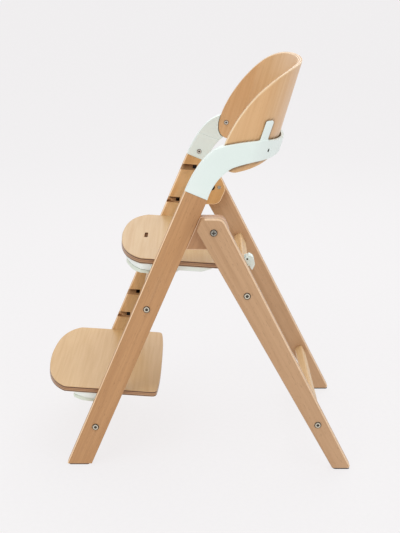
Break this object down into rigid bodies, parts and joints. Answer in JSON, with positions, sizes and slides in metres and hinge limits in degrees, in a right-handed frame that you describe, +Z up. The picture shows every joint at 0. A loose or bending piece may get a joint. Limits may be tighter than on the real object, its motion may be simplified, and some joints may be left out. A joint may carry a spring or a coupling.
{
  "type": "baby high chair",
  "caption": "Folding wooden baby high chair with a bent plywood backrest, a white armrest hoop, and a seat and footrest that lock into grooves in the front legs.",
  "frame": {"origin": "on the floor, at the middle of the overall box", "axes": "+Z up, the chair faces -Y, +X is the sitter's left"},
  "size_m": [0.4662, 0.6731, 0.866],
  "materials": {
    "front_beech": "satin lacquered solid beech",
    "rear_beech": "satin lacquered solid beech, paler",
    "seat_plywood": "satin lacquered plywood, dark edges",
    "back_plywood": "satin lacquered bent plywood",
    "white_plastic": "smooth white with a cool tint",
    "bright_steel": "zinc plated",
    "bolt_steel": "bronze toned, hexagon socket",
    "glide_rubber": "dark"
  },
  "bodies": {
    "front_frame": {"front_leg_left": "front_beech", "front_leg_right": "front_beech", "front_crossbar_upper": "front_beech", "front_crossbar_lower": "front_beech", "front_bolt_upper_left": "bolt_steel", "front_bolt_upper_right": "bolt_steel", "front_bolt_lower_left": "bolt_steel", "front_bolt_lower_right": "bolt_steel", "hinge_plate_left": "front_beech", "hinge_plate_right": "front_beech", "plate_dowel_1_left": "front_beech", "plate_dowel_1_right": "front_beech", "plate_dowel_2_left": "front_beech", "plate_dowel_2_right": "front_beech", "front_glide_left": "glide_rubber", "front_glide_right": "glide_rubber", "pivot_nut_left": "bolt_steel", "pivot_nut_right": "bolt_steel", "stop_pin_left": "bright_steel", "stop_pin_right": "bright_steel", "armrest_hoop": "white_plastic", "arm_inner_cover_left": "white_plastic", "arm_inner_cover_right": "white_plastic", "backrest_shell": "back_plywood", "arm_bolt_left": "bright_steel", "arm_bolt_right": "bright_steel", "backrest_bolt_left": "bright_steel", "backrest_bolt_right": "bright_steel", "backrest_screw_left": "bright_steel", "backrest_screw_right": "bright_steel", "seat_board": "seat_plywood", "seat_carrier_left": "white_plastic", "seat_carrier_right": "white_plastic", "footrest_board": "seat_plywood", "footrest_carrier_left": "white_plastic", "footrest_carrier_right": "white_plastic"},
    "rear_frame": {"rear_leg_left": "rear_beech", "rear_leg_right": "rear_beech", "rear_crossbar_upper": "front_beech", "rear_crossbar_lower": "front_beech", "rear_bolt_upper_left": "bolt_steel", "rear_bolt_upper_right": "bolt_steel", "rear_bolt_lower_left": "bolt_steel", "rear_bolt_lower_right": "bolt_steel", "pivot_bolt_left": "bright_steel", "pivot_bolt_right": "bright_steel", "rear_glide_left": "glide_rubber", "rear_glide_right": "glide_rubber", "hook_bracket": "white_plastic", "hook_pin": "bolt_steel"},
    "fold_hook": {"fold_hook": "white_plastic"},
    "seat_lever_left": {"seat_lever_left": "white_plastic"},
    "seat_lock_pin_left": {"seat_lock_pin_left": "bright_steel"},
    "seat_lever_right": {"seat_lever_right": "white_plastic"},
    "seat_lock_pin_right": {"seat_lock_pin_right": "bright_steel"},
    "footrest_lever_left": {"footrest_lever_left": "white_plastic"},
    "footrest_lock_pin_left": {"footrest_lock_pin_left": "bright_steel"},
    "footrest_lever_right": {"footrest_lever_right": "white_plastic"},
    "footrest_lock_pin_right": {"footrest_lock_pin_right": "bright_steel"}
  },
  "joints": [
    {"name": "fold", "type": "hinge", "parent": "front_frame", "child": "rear_frame", "pos_m": [0, 0.0375, 0.536], "axis": [-1, 0, 0], "range_deg": [0, 51]},
    {"name": "hook_swing", "type": "hinge", "parent": "rear_frame", "child": "fold_hook", "pos_m": [0, 0.11651, 0.41609], "axis": [1, 0, 0], "range_deg": [0, 75]},
    {"name": "seat_lever_left_pull", "type": "hinge", "parent": "front_frame", "child": "seat_lever_left", "pos_m": [0, -0.05621, 0.43523], "axis": [1, 0, 0], "range_deg": [0, 15], "stiffness_Nm_per_rad": 0.4, "springref_deg": -8.59},
    {"name": "seat_pin_left_draw", "type": "slide", "parent": "front_frame", "child": "seat_lock_pin_left", "axis": [-1, 0, 0], "range_m": [0, 0.008]},
    {"name": "seat_lever_right_pull", "type": "hinge", "parent": "front_frame", "child": "seat_lever_right", "pos_m": [0, -0.05621, 0.43523], "axis": [1, 0, 0], "range_deg": [0, 15], "stiffness_Nm_per_rad": 0.4, "springref_deg": -8.59},
    {"name": "seat_pin_right_draw", "type": "slide", "parent": "front_frame", "child": "seat_lock_pin_right", "axis": [1, 0, 0], "range_m": [0, 0.008]},
    {"name": "footrest_lever_left_pull", "type": "hinge", "parent": "front_frame", "child": "footrest_lever_left", "pos_m": [0, -0.18125, 0.14123], "axis": [1, 0, 0], "range_deg": [0, 15], "stiffness_Nm_per_rad": 0.4, "springref_deg": -8.59},
    {"name": "footrest_pin_left_draw", "type": "slide", "parent": "front_frame", "child": "footrest_lock_pin_left", "axis": [-1, 0, 0], "range_m": [0, 0.008]},
    {"name": "footrest_lever_right_pull", "type": "hinge", "parent": "front_frame", "child": "footrest_lever_right", "pos_m": [0, -0.18125, 0.14123], "axis": [1, 0, 0], "range_deg": [0, 15], "stiffness_Nm_per_rad": 0.4, "springref_deg": -8.59},
    {"name": "footrest_pin_right_draw", "type": "slide", "parent": "front_frame", "child": "footrest_lock_pin_right", "axis": [1, 0, 0], "range_m": [0, 0.008]}
  ],
  "couplings": [
    {"joint": "seat_pin_left_draw", "follows": "seat_lever_left_pull", "m_per_rad": 0.0305},
    {"joint": "seat_pin_right_draw", "follows": "seat_lever_right_pull", "m_per_rad": 0.0305},
    {"joint": "footrest_pin_left_draw", "follows": "footrest_lever_left_pull", "m_per_rad": 0.0305},
    {"joint": "footrest_pin_right_draw", "follows": "footrest_lever_right_pull", "m_per_rad": 0.0305}
  ]
}
